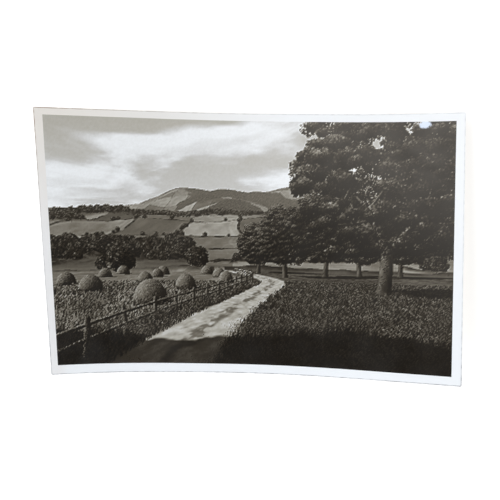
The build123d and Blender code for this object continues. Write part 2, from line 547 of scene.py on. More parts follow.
@dataclass
class CountryView:
    """A made-up country view in summer, as the tones of a print: 0 is its black and 1 its white.

    Distances in the view are in metres.

    Attributes:
        columns: how many points the print has across.
        rows: how many points it has down.
        oversample: how many times finer the view is drawn before it is printed.
        eye: the height of the viewer's eye.
        focal: the focal length of the view, as a share of its width.
        horizon: how far down the level line of sight is, as a share of the view's height.
        sun: the direction that the sun stands in.
        haze_reach: how far away the haze takes over.
        haze_light: how light the haze is.
        contrast: how much darker than the light the print's middle tones are.
        crispness: how far the developer has drawn out the edges between tones.
        grain: how far the negative's grain moves the tones.
        land: the ground.
        belts: each belt of woods by its near and far side, the thinning of its trees and their spacing.
        hay: the half width and the height of a haycock.
        post: the height of the fence's posts.
        rails: the heights of its rails.
        bay: how far apart its posts are.
        bays: how many bays it has.
        seed: which of all such views it is.
        wide: how many points the drawing has across.
        high: how many points it has down.
        scale: how many points of it a metre takes up, one metre away.
        level: the row of its level line of sight.
        toward_sun: the unit vector towards the sun.
        shades: the middle and the radius of each thing that casts a shade.
        light: the light of each point.
        depth: how far away each point is.
    """

    columns: int
    rows: int
    oversample: int = 2
    eye: float = 3.0
    focal: float = 1.05
    horizon: float = 0.545
    sun: Point = (-0.66, 0.62, -0.26)
    haze_reach: float = 4200.0
    haze_light: float = 0.46
    contrast: float = 1.6
    crispness: float = 1.5
    grain: float = 0.05
    land: Land = Land()
    belts: tuple[tuple[float, float, int, float], ...] = (
        (120.0, 360.0, 40, 8.5),
        (360.0, 720.0, 150, 9.5),
        (720.0, 1500.0, 450, 12.0),
    )
    hay: Pair = (1.15, 1.7)
    post: float = 1.2
    rails: Pair = (0.5, 0.95)
    bay: float = 3.0
    bays: int = 24
    seed: int = 7
    wide: int = field(init=False)
    high: int = field(init=False)
    scale: float = field(init=False)
    level: float = field(init=False)
    toward_sun: Array = field(init=False)
    shades: list[tuple[Point, float]] = field(init=False, default_factory=list)
    light: Array = field(init=False)
    depth: Array = field(init=False)

    def __post_init__(self) -> None:
        """Work out the drawing's size, its scale, its level line and the way to the sun."""
        self.wide, self.high = self.columns * self.oversample, self.rows * self.oversample
        self.scale, self.level = self.focal * self.wide, self.horizon * self.high
        self.toward_sun = unit(np.array(self.sun))

    def tones(self) -> Array:
        """Draw the view and print it.

        Returns:
            The tone of each point of the print, its top row first.
        """
        rng = np.random.default_rng(self.seed)
        old = BroadTree(height=17.0, spread=7.8, leaves=130000, seed=6).grown()
        young = BroadTree(height=14.0, spread=6.2, leaves=60000, seed=9).grown()
        trees = self._trees(old, young)
        hay = self._hay_places(rng)
        self._shade_foreground()
        self._draw_ground()
        self._lay(self._woods(rng, young), lit=0.8)
        self._lay(trees)
        self._lay(self._haycocks(rng, hay))
        self._lay(self._fence(rng))
        self._lay(self._grass(rng))
        return self._printed()

    def _trees(self, old: Dabs, young: Dabs) -> Dabs:
        """Stand the near trees along the right, and note the shade that each casts.

        Args:
            old: the large tree.
            young: the small tree.

        Returns:
            The dabs of all of them.
        """
        # Each tree's place to the right and ahead, its scale and its turn
        places = (
            (old, 10.5, 33.0, 1.0, 0.3),
            (young, 19.5, 38.0, 1.15, 2.0),
            (young, 5.5, 66.0, 0.85, 4.1),
            (old, 13.0, 72.0, 0.8, 1.0),
            (young, 21.0, 80.0, 0.95, 3.0),
            (old, 30.0, 84.0, 0.8, 2.0),
            (young, 1.5, 88.0, 0.8, 5.2),
        )
        crown_height, crown_radius, sunk = 9.0, 7.6, 0.15
        trees = []
        for tree, x, z, scale, turn in places:
            ground = self.land.stand(x, z)
            self.shades.append(((x, ground + crown_height * scale, z), crown_radius * scale))
            trees.append(tree.moved((x, ground - sunk, z), scale, turn))
        return Dabs.joined(trees)

    def _shade_foreground(self) -> None:
        """Let trees beside the viewer, out of the view, shade the foreground."""
        crown_height, crown_radius, ahead, stagger = 9.0, 4.6, 7.2, 1.3
        for x in (-17.0, -11.5, -6.0, -0.5, 5.0):
            self.shades.append(((x, crown_height, ahead + stagger * math.sin(1.7 * x)), crown_radius))

    def _hay_places(self, rng: Chance) -> list[Point]:
        """Choose where the haycocks stand, in rough rows, and note their shade.

        Args:
            rng: the source of chance.

        Returns:
            For each haycock its place to the right and ahead, and its scale.
        """
        rows, columns, first_row, row_step, first_column, column_step = 5, 3, 26, 12, 7, 8.5
        shade_height, shade_radius, sway_ahead, sway_aside, scales = 0.7, 1.0, 2, 1.2, (0.75, 1.0)
        places = []
        for row in range(rows):
            for column in range(columns):
                z = first_row + row_step * row + rng.uniform(-sway_ahead, sway_ahead)
                x = float(self.land.lane(np.array(z))) - first_column - column_step * column
                x += rng.uniform(-sway_aside, sway_aside)
                places.append((x, z, rng.uniform(*scales)))
                self.shades.append(((x, self.land.stand(x, z) + shade_height, z), shade_radius))
        return places

    def _haycocks(self, rng: Chance, places: list[Point]) -> Dabs:
        """Build one haycock and stand it at each place.

        Args:
            rng: the source of chance.
            places: where they stand, and their scales.

        Returns:
            The dabs of all of them.
        """
        count, sunk, turn, touch = 6000, 0.1, 1.1, (0.03, 0.06)
        ruffled, straw, foot, foot_shade = 0.16, (0.13, 0.19), 0.15, 0.05
        half_width, height = self.hay
        outward = unit(rng.normal(size=(count, 3)))
        outward[:, 1] = np.abs(outward[:, 1])
        facing = unit(outward + ruffled * rng.normal(size=(count, 3)))
        albedo = rng.uniform(*straw, count) - foot_shade * (outward[:, 1] < foot)
        place, radius = outward * (half_width, height, half_width), rng.uniform(*touch, count)
        cock = Dabs(place, facing, albedo, radius)
        return Dabs.joined([
            cock.moved((x, self.land.stand(x, z) - sunk, z), scale, turn * number)
            for number, (x, z, scale) in enumerate(places)
        ])

    def _woods(self, rng: Chance, tree: Dabs) -> Dabs:
        """Grow trees in the woods and hedges of the hills, drawn with fewer dabs the farther they are.

        Args:
            rng: the source of chance.
            tree: the tree that all of them are copies of.

        Returns:
            The dabs of all of them.
        """
        spread, grown_over, hedge_trees = 1.05, 0.5, 0.6
        wood_scales, hedge_scales, sunk, sunk_in_wood = (0.7, 1.2), (0.3, 0.65), 4.0, 2.0
        copies = []
        for near, far, thinning, spacing in self.belts:
            thin = tree.thinned(thinning)
            count = int((far ** 2 - near ** 2) / 2 * spread / spacing ** 2)
            z = np.sqrt(rng.uniform(near ** 2, far ** 2, count))
            x = rng.uniform(-spread / 2, spread / 2, count) * z
            hedge, wood, _ = self.land.cover(x, z)
            in_wood, in_hedge = wood > grown_over, hedge > grown_over
            scale = np.where(in_wood, rng.uniform(*wood_scales, count), rng.uniform(*hedge_scales, count))
            grows = in_wood | in_hedge & (rng.random(count) < hedge_trees)
            y = self.land.height(x, z) - sunk * scale - sunk_in_wood * wood
            for at in np.nonzero(grows)[0]:
                copies.append(thin.moved((x[at], y[at], z[at]), scale[at], GOLDEN_TURN * at))
        return Dabs.joined(copies)

    def _fence(self, rng: Chance) -> Dabs:
        """Run a fence of posts and two rails along the left of the lane.

        Args:
            rng: the source of chance.

        Returns:
            The dabs of its timber.
        """
        timber, touch, first_post, crooked = 0.2, 0.03, 6, 0.05
        post_radii, rail_radii = (0.075, 0.065), (0.035, 0.035)
        parts = []
        for number in range(self.bays):
            feet = []
            for z in (first_post + self.bay * number, first_post + self.bay * (number + 1)):
                x = float(self.land.lane(np.array(z))) - self.land.verge
                feet.append(np.array([x, self.land.stand(x, z), z]))
            top = feet[0] + (crooked * rng.normal(), self.post, 0.0)
            parts.append(Dabs.rod(rng, feet[0], top, post_radii, timber, touch))
            for rail in self.rails:
                lift = np.array([0.0, rail, 0.0])
                parts.append(Dabs.rod(rng, feet[0] + lift, feet[1] + lift, rail_radii, timber, touch))
        return Dabs.joined(parts)

    def _grass(self, rng: Chance) -> Dabs:
        """Grow tall grass beside the lane in the foreground.

        Args:
            rng: the source of chance.

        Returns:
            The dabs of its blades.
        """
        blades, points, nearest, reach, thickness = 34000, 9, 9, 42, 0.008
        meadow_share, tallness, tuft, bending = 0.45, (0.08, 0.42), 1.1, 0.25
        tones, dark_in_shade, lower, lower_reach = (0.03, 0.12), 0.75, 0.7, (14, 50)
        z = nearest + reach * rng.random(blades) ** 2.0
        x = rng.uniform(-0.5, 0.5, blades) * z
        beside = x - self.land.lane(z)
        in_meadow = beside < -1.4 * self.land.verge
        off_lane = np.abs(beside) > 0.47 * self.land.lane_width
        kept = off_lane & (rng.random(blades) < np.where(in_meadow, meadow_share, 1))
        x, z = x[kept], z[kept]
        count = len(x)
        y = self.land.height(x, z)
        tufts = 0.3 + 1.3 * smooth_noise(x / tuft, z / tuft, Pattern.TUFTS)
        tall = rng.uniform(*tallness, count) * tufts
        tall *= 1 - lower * ramp(z, *lower_reach)
        bend = bending * rng.normal(size=(count, 2))
        albedo = rng.uniform(*tones, count) * (1 - dark_in_shade * self._shade(x, y, z))
        facing = unit(np.stack([2 * bend[:, 0], np.full(count, 0.5), bend[:, 1] - 0.6], axis=1))
        parts = []
        for share in np.linspace(0, 1, points):
            over = 2 * tall * share ** 2
            place = np.stack([x + bend[:, 0] * over, y + tall * share, z + bend[:, 1] * over], axis=1)
            parts.append(Dabs(place, facing, albedo * (0.3 + share), np.full(count, thickness)))
        return Dabs.joined(parts)

    def _shade(self, x: Array, y: Array, z: Array) -> Array:
        """Find how much of the sun the trees and haycocks keep off places on the ground.

        Args:
            x: places to the right.
            y: their heights.
            z: places ahead.

        Returns:
            Shares from 0, in the sun, to 1, in the shade.
        """
        leaf_gap, crown_gap, rim = (0.8, 1.5), (2.6, 5.0), (-1.55, -1.35)
        fine = fractal(x / leaf_gap[0], z / leaf_gap[1], Pattern.FINE_SHADE)
        broad = fractal(x / crown_gap[0], z / crown_gap[1], Pattern.BROAD_SHADE)
        dapple = 0.5 * fine + 0.5 * broad
        shade = np.zeros(np.shape(x))
        for (crown_x, crown_y, crown_z), reach in self.shades:
            up = (crown_y - y) / self.toward_sun[1]
            miss_x = x + self.toward_sun[0] * up - crown_x
            miss_z = z + self.toward_sun[2] * up - crown_z
            shade = np.maximum(shade, ramp(-np.hypot(miss_x, miss_z) / reach - dapple, *rim))
        return shade

    def _draw_ground(self) -> None:
        """Draw the ground, the hills and the sky, and keep how far away each point is."""
        nearest, farthest, stations, cliff = 2.5, 5000, 1000, 6
        from_sky, from_sun, on_leaves, leaf_tones = 0.20, 1.05, 0.6, (0.02, 0.3)
        steps = np.geomspace(nearest, farthest, stations)[:, None]
        across = (np.arange(self.wide) + 0.5 - self.wide / 2)[None, :] / self.scale
        down = np.arange(self.high)[:, None] + 0.5
        surface = self.level - (self.land.height(steps * across, steps) - self.eye) * self.scale / steps
        skyline = np.minimum.accumulate(surface, axis=0)
        first = [np.searchsorted(-skyline[:, at], -down[:, 0]) for at in range(self.wide)]
        first = np.stack(first, axis=1)
        in_sky = first == stations
        first = np.clip(first, 1, stations - 1)
        columns = np.broadcast_to(np.arange(self.wide), first.shape)
        before, after = skyline[first - 1, columns], skyline[first, columns]
        share = np.clip((before - down) / np.maximum(before - after, 1e-6), 0, 1)
        near, far = steps[first - 1, 0], steps[first, 0]
        z = np.where(before - after < cliff, near + (far - near) * share, far)
        x = z * across
        hedge, wood, _ = self.land.cover(x, z)
        leafy = np.maximum(hedge, wood)
        step = 0.02 * z + 0.15
        y = self.land.height(x, z)
        slope_x = (y - self.land.height(x + step, z)) / step
        slope_z = (y - self.land.height(x, z + step)) / step
        sun = np.clip(unit(np.stack([slope_x, np.ones_like(x), slope_z], axis=-1)) @ self.toward_sun, 0, 1)
        up = self.eye + (self.level - down) * z / self.scale
        lumps = fractal(x / 3.4, up / 2.6 + z / 9, Pattern.LEAF_LUMPS, 4)
        foliage = np.clip(0.36 * lumps - 0.09, *leaf_tones)
        albedo = self._ground_albedo(x, z) * (1 - leafy) + foliage * leafy
        light = from_sky + from_sun * sun * (1 - self._shade(x, y, z)) * (1 - leafy) + on_leaves * leafy
        haze = 1 - np.exp(-z / self.haze_reach)
        self.light = np.where(in_sky, self._sky(), albedo * light * (1 - haze) + self.haze_light * haze)
        self.depth = np.where(in_sky, np.inf, z)

    def _ground_albedo(self, x: Array, z: Array) -> Array:
        """Find how light the grass, the mown meadow, the far fields and the lane are.

        Args:
            x: places to the right.
            z: places ahead.

        Returns:
            The albedo at each place.
        """
        land = self.land
        long_grass, hay_stubble, bare_lane = 0.18, 0.33, 0.60
        beside = x - land.lane(z)
        close = ramp(-z, -120, -60)
        blades = patches(x, z, (0.5, 1.3), Pattern.BLADES)
        grass = long_grass + 0.2 * blades * close + 0.14 * patches(x, z, (6, 14), Pattern.TUFTS)
        swaths = 0.05 * np.sin(1.45 * x + 0.5 * z) * ramp(-z, -60, -25)
        mown = hay_stubble + swaths + 0.08 * blades * close
        mown = mown + 0.2 * patches(x, z, (1.6, 5), Pattern.SWATHS)
        meadow = ramp(-beside, land.verge, 2 * land.verge)
        albedo = grass * (1 - meadow) + mown * meadow
        beyond = ramp(z, 110, 170)
        fields = land.cover(x, z)[2] * (0.75 + 0.5 * fractal(x / 14, z / 40, Pattern.FAR_FIELDS))
        albedo = albedo * (1 - beyond) + fields * beyond
        ragged = np.abs(beside + 0.5 * patches(x, z, (0.9, 1.6), Pattern.LANE_EDGE))
        on_lane = ramp(-ragged, -0.57 * land.lane_width, -0.42 * land.lane_width) * ramp(-z, -220, -150)
        ruts = fractal(x / 0.35, z / 0.9, Pattern.LANE_RUTS)
        between_ruts = ramp(-ragged, -0.5, -0.2) * ramp(ruts, 0.3, 0.6)
        gravel = bare_lane + 0.34 * patches(x, z, (0.3, 0.8), Pattern.GRAVEL)
        return albedo * (1 - on_lane) + gravel * (1 - 0.5 * between_ruts) * on_lane

    def _sky(self) -> Array:
        """Draw a pale summer sky with streaks of bright cloud.

        Returns:
            The light of each point of the view, as if all of it were sky.
        """
        at_horizon, darker_overhead, cloud_light, cloud_cover = 0.83, 0.27, 0.95, 0.85
        cloud_share, thick, cloud_tones, relief = (0.44, 0.62), (0.6, 0.8), (0.5, 1.0), 1.1
        down = np.arange(self.high)[:, None] / self.high
        across = np.arange(self.wide)[None, :] / self.high
        up = np.clip(1 - down / self.horizon, 0, 1)
        overhead = 0.3 + up
        cloud_x, cloud_z = (across - 0.6) / overhead, 1 / overhead
        bend = 0.6 * (fractal(2.1 * cloud_x + 7, 2.6 * cloud_z, Pattern.CLOUD_BENDS, 4) - 0.5)
        cloud_x, cloud_z = 1.7 * cloud_x + bend, 3.4 * cloud_z + bend
        body = fractal(cloud_x, cloud_z, Pattern.CLOUDS, 6)
        toward_sun = fractal(cloud_x - 0.10, cloud_z - 0.16, Pattern.CLOUDS, 6)
        cover = cloud_cover * ramp(body, *cloud_share)
        lit = cloud_light + relief * (body - toward_sun) - 0.12 * ramp(body, *thick)
        clear = at_horizon - darker_overhead * up ** 0.8
        return clear * (1 - cover) + np.clip(lit, *cloud_tones) * cover

    def _lay(self, dabs: Dabs, lit: float = 1.0) -> None:
        """Light the dabs and lay them on the view, the far ones first.

        Args:
            dabs: what to lay.
            lit: a share that dims all of it.
        """
        smallest, largest, slack = 0.71, 5, 2
        from_around, from_above, from_sun, sharpness = 0.24, 0.1, 2.2, 1.2
        order = np.argsort(-dabs.place[:, 2], kind="stable")
        place, facing = dabs.place[order], dabs.facing[order]
        z = place[:, 2]
        column = self.wide / 2 + place[:, 0] * self.scale / z
        row = self.level - (place[:, 1] - self.eye) * self.scale / z
        radius = np.clip(dabs.radius[order] * self.scale / z, smallest, largest)
        sun = np.clip(facing @ self.toward_sun, 0, 1)
        light = from_around + from_above * facing[:, 1] + from_sun * sun ** sharpness
        tone = dabs.albedo[order] * lit * light
        haze = 1 - np.exp(-z / self.haze_reach)
        tone = tone * (1 - haze) + self.haze_light * haze
        nearest = np.full(self.light.size, -1)
        span = range(-math.ceil(radius.max()), math.ceil(radius.max()) + 1)
        for across, down in ((across, down) for across in span for down in span):
            at_column, at_row = np.floor(column).astype(int) + across, np.floor(row).astype(int) + down
            covers = (at_column + 0.5 - column) ** 2 + (at_row + 0.5 - row) ** 2 <= radius ** 2
            covers &= (at_column >= 0) & (at_column < self.wide) & (at_row >= 0) & (at_row < self.high)
            which = np.nonzero(covers)[0]
            laid = np.full(self.light.size, -1)
            laid[at_row[which] * self.wide + at_column[which]] = which
            np.maximum(nearest, laid, out=nearest)
        nearest = nearest.reshape(self.light.shape)
        shows = (nearest >= 0) & (z[nearest] < self.depth + slack)
        self.light[shows] = tone[nearest[shows]]
        self.depth[shows] = z[nearest[shows]]

    def _printed(self) -> Array:
        """Print the view: its light becomes tones, with the negative's grain.

        Returns:
            The tone of each point of the print.
        """
        fine, display, curve, grain_width = self.oversample, 2.2, 0.25, 1.3
        light = self.light.reshape(self.rows, fine, self.columns, fine).mean(axis=(1, 3))
        tone = np.clip(light, 0, 1) ** (1 / display)
        tone = ((1 - curve) * tone + curve * ramp(tone, 0, 1)) ** self.contrast
        rimmed = np.pad(tone, 1, mode="edge")
        around = (rimmed[:-2, 1:-1] + rimmed[2:, 1:-1] + rimmed[1:-1, :-2] + rimmed[1:-1, 2:]) / 4
        tone = tone + self.crispness * (tone - around)
        rows, columns = np.indices(tone.shape)
        grain = fractal(columns / grain_width, rows / grain_width, Pattern.SILVER_GRAIN, 2) - 0.5
        return np.clip(tone + self.grain * grain, 0, 1)


@dataclass(frozen=True)
class Curl:
    """How the card has curled: a flat strip, arcs that rise from both its sides, and straight tips.

    Attributes:
        lean: the angle of the strip to the card's short side.
        radius: the radius of the arcs, at the back of the card.
        arc: the length of each arc, at the back of the card.
        strip: the width of the flat strip.
    """

    lean: float = math.radians(-25)
    radius: float = 195 * MM
    arc: float = 44 * MM
    strip: float = 12 * MM

    def shaped(self, flat: Array, middle_level: float) -> Array:
        """Curl points of the flat card, with its edges cut upright.

        Args:
            flat: points whose third number is their level above the back.
            middle_level: the level that keeps its length.

        Returns:
            The points on the curled card.
        """
        cosine, sine = math.cos(self.lean), math.sin(self.lean)
        across = flat[:, 0] * cosine + flat[:, 1] * sine
        along = flat[:, 1] * cosine - flat[:, 0] * sine
        on_strip = np.clip(across, -self.strip / 2, self.strip / 2)
        middle, bend = self.radius - middle_level, self.arc / self.radius
        on_arc = np.clip(across - on_strip, -middle * bend, middle * bend)
        run = middle * np.sin(on_arc / middle) + (across - on_strip - on_arc) * math.cos(bend)
        radius = self.radius - flat[:, 2]
        arc_run = np.minimum(np.abs(run), radius * math.sin(bend))
        rise = self.radius - np.sqrt(radius ** 2 - arc_run ** 2) + (np.abs(run) - arc_run) * math.tan(bend)
        across = on_strip + run
        return np.stack([across * cosine - along * sine, across * sine + along * cosine, rise], axis=1)


@dataclass(frozen=True)
class Card:
    """The card as it was cut and printed, while flat, in metres.

    Attributes:
        length: its long side.
        height: its short side.
        corner: the wear of its corners, as a radius.
        paper: the level of the paper's upper face above the back.
        baryta: the level of the mineral coat's upper face.
        gelatin: the level of the gelatin's upper face.
        borders: the white border at the left, the right, the top and the bottom.
        tilt: how far out of square the picture was printed.
        step: how far apart the bends of a modelled sheet are.
        curl: how the card has curled.
    """

    length: float = 140 * MM
    height: float = 90 * MM
    corner: float = 0.5 * MM
    paper: float = 0.25 * MM
    baryta: float = 0.28 * MM
    gelatin: float = 0.30 * MM
    borders: tuple[float, float, float, float] = (2.5 * MM, 3.0 * MM, 2.5 * MM, 3.2 * MM)
    tilt: float = math.radians(-0.2)
    step: float = 2 * MM
    curl: Curl = Curl()

    @property
    def picture_size(self) -> Pair:
        """The length and height of the picture."""
        left, right, top, bottom = self.borders
        return self.length - left - right, self.height - top - bottom

    @property
    def picture_middle(self) -> Pair:
        """The middle of the picture on the card."""
        left, right, top, bottom = self.borders
        return (left - right) / 2, (bottom - top) / 2

    def on_picture(self, x: Array, y: Array) -> tuple[Array, Array]:
        """Turn places on the card to places from the middle of the picture, along its sides.

        Args:
            x: places along the card.
            y: places up the card.

        Returns:
            The places along and up the picture.
        """
        x, y = x - self.picture_middle[0], y - self.picture_middle[1]
        cosine, sine = math.cos(self.tilt), math.sin(self.tilt)
        return x * cosine + y * sine, y * cosine - x * sine

    def from_picture(self, x: Array, y: Array) -> tuple[Array, Array]:
        """Turn places from the middle of the picture to places on the card.

        Args:
            x: places along the picture.
            y: places up the picture.

        Returns:
            The places along and up the card.
        """
        cosine, sine = math.cos(self.tilt), math.sin(self.tilt)
        middle_x, middle_y = self.picture_middle
        return middle_x + x * cosine - y * sine, middle_y + x * sine + y * cosine


@dataclass
class Sheet:
    """A thin sheet of the card, modelled flat with operators and then curled.

    Attributes:
        name: the piece's name.
        card: the card that it belongs to.
        corner_cuts: how many facets a worn corner has.
        crease: the angle from which an edge stays sharp.
        piece: its object, once it is laid.
    """

    name: str
    card: Card
    corner_cuts: int = 4
    crease: float = math.radians(40)
    piece: Piece = field(init=False)

    def lay_grid(self, size: Pair, middle: Pair, level: float,
                 squares: tuple[int, int] | None = None) -> None:
        """Start a sheet from a grid, and leave it in edit mode with all of it selected.

        Args:
            size: its length and height.
            middle: the middle of it on the card.
            level: the level of its lower face.
            squares: how many squares it has along and up, if the card's own step isn't to give that.
        """
        squares = squares or tuple(max(round(side / self.card.step), 1) for side in size)
        bpy.ops.object.select_all(action="DESELECT")
        bpy.ops.mesh.primitive_grid_add(x_subdivisions=squares[0], y_subdivisions=squares[1], size=1)
        self.piece = bpy.context.object
        self.piece.name = self.piece.data.name = self.name
        bpy.ops.object.mode_set(mode="EDIT")
        bpy.ops.mesh.select_all(action="SELECT")
        bpy.ops.transform.resize(value=(*size, 1))
        bpy.ops.transform.translate(value=(*middle, level))

    def lay_card(self, level: float) -> None:
        """Start a sheet as large as the card, with corners rounded by wear, and leave it in edit mode.

        Args:
            level: the level of its lower face.
        """
        self.lay_grid((self.card.length, self.card.height), (0, 0), level)
        mesh = bmesh.from_edit_mesh(self.piece.data)
        for vertex in mesh.verts:
            vertex.select_set(len(vertex.link_faces) == 1)
        mesh.select_flush_mode()
        bpy.ops.mesh.bevel(offset=self.card.corner, segments=self.corner_cuts, affect="VERTICES")

    def cut_window(self) -> None:
        """Cut the picture's rectangle out of the sheet."""
        card = self.card
        half_length, half_height = (side / 2 for side in card.picture_size)
        for normal_x, normal_y in ((-1, 0), (1, 0), (0, -1), (0, 1)):
            x, y = half_length * normal_x, half_height * normal_y
            at, tip = card.from_picture(x, y), card.from_picture(x + normal_x, y + normal_y)
            bpy.ops.mesh.select_all(action="SELECT")
            bpy.ops.mesh.bisect(plane_co=(*at, 0), plane_no=(tip[0] - at[0], tip[1] - at[1], 0))
        bpy.ops.mesh.select_mode(type="FACE")
        mesh = bmesh.from_edit_mesh(self.piece.data)
        for face in mesh.faces:
            x, y = card.on_picture(*face.calc_center_median().xy)
            face.select_set(abs(x) < half_length and abs(y) < half_height)
        bpy.ops.mesh.delete(type="FACE")

    def thicken(self, thickness: float) -> None:
        """Give the flat sheet its thickness, upwards."""
        bpy.ops.mesh.select_all(action="SELECT")
        bpy.ops.mesh.extrude_region_move(TRANSFORM_OT_translate={"value": (0, 0, thickness)})

    def finish(self, node: str, slot: str, material: bpy.types.Material) -> Piece:
        """Close the sheet, keep its flat places for the finishes, curl it and dress it.

        Args:
            node: the solid that the sheet stands for.
            slot: the record's slot for its finish; it is not used.
            material: its finish.

        Returns:
            The finished piece.
        """
        bpy.ops.mesh.select_all(action="SELECT")
        bpy.ops.mesh.normals_make_consistent(inside=False)
        bpy.ops.object.mode_set(mode="OBJECT")
        mesh = self.piece.data
        flat = np.empty(3 * len(mesh.vertices), np.float32)
        mesh.vertices.foreach_get("co", flat)
        mesh.attributes.new(FLAT_PLACE, "FLOAT_VECTOR", "POINT").data.foreach_set("vector", flat)
        curled = self.card.curl.shaped(flat.reshape(-1, 3).astype(float), self.card.gelatin / 2)
        mesh.vertices.foreach_set("co", curled.astype(np.float32).ravel())
        mesh.update()
        bpy.ops.object.shade_smooth_by_angle(angle=self.crease)
        mesh.materials.append(material)
        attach(self.piece, "root")
        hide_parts(node)
        return self.piece


@dataclass
class CardStock:
    """The fibre card and the mineral coat on it, the two sheets under the gelatin.

    Attributes:
        card: the card's sizes.
        print_relief: how far the back print stands proud of the paper.
    """

    card: Card
    print_relief: float = 0.006 * MM

    def build(self) -> list[Piece]:
        """Model both sheets and dress them.

        Returns:
            The card and the coat.
        """
        card, pieces = self.card, []
        for name, low, high, node, slot, finish in (
            ("card_paper", self.print_relief, card.paper, "paper_base", "fibre_card", FibreCard(card)),
            ("card_baryta", card.paper, card.baryta, "baryta_coat", "baryta", BarytaCoat()),
        ):
            sheet = Sheet(name, card)
            sheet.lay_card(low)
            sheet.thicken(high - low)
            pieces.append(sheet.finish(node, slot, finish.material()))
        return pieces


@dataclass
class WhiteBorder:
    """The clear gelatin of the border, around the picture.

    Attributes:
        card: the card's sizes.
    """

    card: Card

    def build(self) -> list[Piece]:
        """Model the border as one sheet with the picture's window cut out, and dress it.

        Returns:
            The border.
        """
        sheet = Sheet("print_border", self.card)
        sheet.lay_card(self.card.baryta)
        sheet.cut_window()
        sheet.thicken(self.card.gelatin - self.card.baryta)
        return [sheet.finish("gelatin_border", "clear_gelatin", ClearGelatin(self.card).material())]


@dataclass
class SilverPicture:
    """The silver picture in the gelatin, with a point of its mesh for each point of the print.

    Attributes:
        card: the card's sizes.
        squares: how many squares its upper face has along and up.
        coarser: how many times wider the squares of its hidden lower face are.
    """

    card: Card
    squares: tuple[int, int] = (380, 240)
    coarser: int = 10

    def build(self) -> list[Piece]:
        """Model the fine upper face and the coarse lower one, bridge them, print the picture and dress it.

        Returns:
            The picture.
        """
        card = self.card
        sheet = Sheet("print_picture", card)
        sheet.lay_grid(card.picture_size, (0, 0), card.gelatin, self.squares)
        bpy.ops.mesh.select_all(action="DESELECT")
        along, up = (count // self.coarser for count in self.squares)
        bpy.ops.mesh.primitive_grid_add(x_subdivisions=along, y_subdivisions=up, size=1)
        bpy.ops.transform.resize(value=(*card.picture_size, 1))
        bpy.ops.transform.translate(value=(0, 0, card.baryta))
        bpy.ops.mesh.region_to_loop()
        bpy.ops.mesh.subdivide(number_cuts=self.coarser - 1, ngon=True)
        bpy.ops.mesh.select_mode(type="EDGE")
        mesh = bmesh.from_edit_mesh(sheet.piece.data)
        for edge in mesh.edges:
            edge.select_set(edge.is_boundary)
        bpy.ops.mesh.bridge_edge_loops()
        self._print(sheet.piece)
        return [sheet.finish("silver_image", "silver_gelatin", SilverGelatin(card).material())]

    def _print(self, piece: Piece) -> None:
        """Give each point of the mesh its tone, and turn the picture as it was printed.

        Args:
            piece: the picture, flat, square and in edit mode, as it is left too.
        """
        bpy.ops.object.mode_set(mode="OBJECT")
        mesh = piece.data
        flat = np.empty(3 * len(mesh.vertices), np.float32)
        mesh.vertices.foreach_get("co", flat)
        flat = flat.reshape(-1, 3).astype(float)
        columns, rows = (count + 1 for count in self.squares)
        tones = CountryView(columns, rows).tones()
        size = np.array(self.card.picture_size)
        at = np.rint((flat[:, :2] / size + 0.5) * self.squares).astype(int)
        tone = tones[rows - 1 - at[:, 1], at[:, 0]]
        mesh.attributes.new(PRINT_TONE, "FLOAT", "POINT").data.foreach_set("value", tone.astype(np.float32))
        flat[:, 0], flat[:, 1] = self.card.from_picture(flat[:, 0], flat[:, 1])
        mesh.vertices.foreach_set("co", flat.astype(np.float32).ravel())
        bpy.ops.object.mode_set(mode="EDIT")


@dataclass
class AddressSide:
    """The print of the back: the dividing line, the address lines and the stamp's frame.

    The back is read from below, so its right half has x below 0.

    Attributes:
        card: the card's sizes.
        depth: how deep the ink has soaked.
        rule: the width of a printed line.
        divider: the distance of the dividing line from the card's lower and upper edge.
        lines: how many address lines there are.
        spacing: how far apart they are.
        foot: the distance of the lowest from the card's lower edge.
        ends: the distance of their ends from the card's short edge and from the dividing line.
        stamp: the length and height of the stamp's frame.
        stamp_margin: its distance from the card's edges.
    """

    card: Card
    depth: float = 0.02 * MM
    rule: float = 0.4 * MM
    divider: Pair = (9 * MM, 17 * MM)
    lines: int = 4
    spacing: float = 9.5 * MM
    foot: float = 10 * MM
    ends: Pair = (7 * MM, 9 * MM)
    stamp: Pair = (20 * MM, 24 * MM)
    stamp_margin: float = 6 * MM

    def build(self) -> list[Piece]:
        """Model each line and the frame, and dress them.

        Returns:
            The dividing line, the address lines from the lowest up, and the frame.
        """
        card, ink = self.card, RuleInk().material()
        low, high = self.divider
        divider = (self.rule, card.height - low - high)
        rules = [("rule_divider", "divider_rule", divider, (0, (low - high) / 2))]
        length = card.length / 2 - sum(self.ends)
        middle_x = -card.length / 2 + self.ends[0] + length / 2
        for number in range(self.lines):
            middle = (middle_x, -card.height / 2 + self.foot + number * self.spacing)
            names = (f"rule_address_{number + 1}", f"address_rule_{number + 1}")
            rules.append((*names, (length, self.rule), middle))
        pieces = []
        for name, node, size, middle in rules:
            line = Sheet(name, card)
            line.lay_grid(size, middle, 0)
            line.thicken(self.depth)
            pieces.append(line.finish(node, "back_ink", ink))
        pieces.append(self._stamp_frame().finish("stamp_frame", "back_ink", ink))
        return pieces

    def _stamp_frame(self) -> Sheet:
        """Model the stamp's frame: a sheet inset by the width of a line, with its inside taken out.

        Returns:
            The frame, in edit mode.
        """
        length, height = self.stamp
        middle_x = -self.card.length / 2 + self.stamp_margin + length / 2
        middle_y = self.card.height / 2 - self.stamp_margin - height / 2
        sheet = Sheet("rule_stamp_frame", self.card)
        sheet.lay_grid(self.stamp, (middle_x, middle_y), 0)
        bpy.ops.mesh.inset(thickness=self.rule, depth=0, use_boundary=True, use_even_offset=True)
        bpy.ops.mesh.delete(type="FACE")
        sheet.thicken(self.depth)
        return sheet


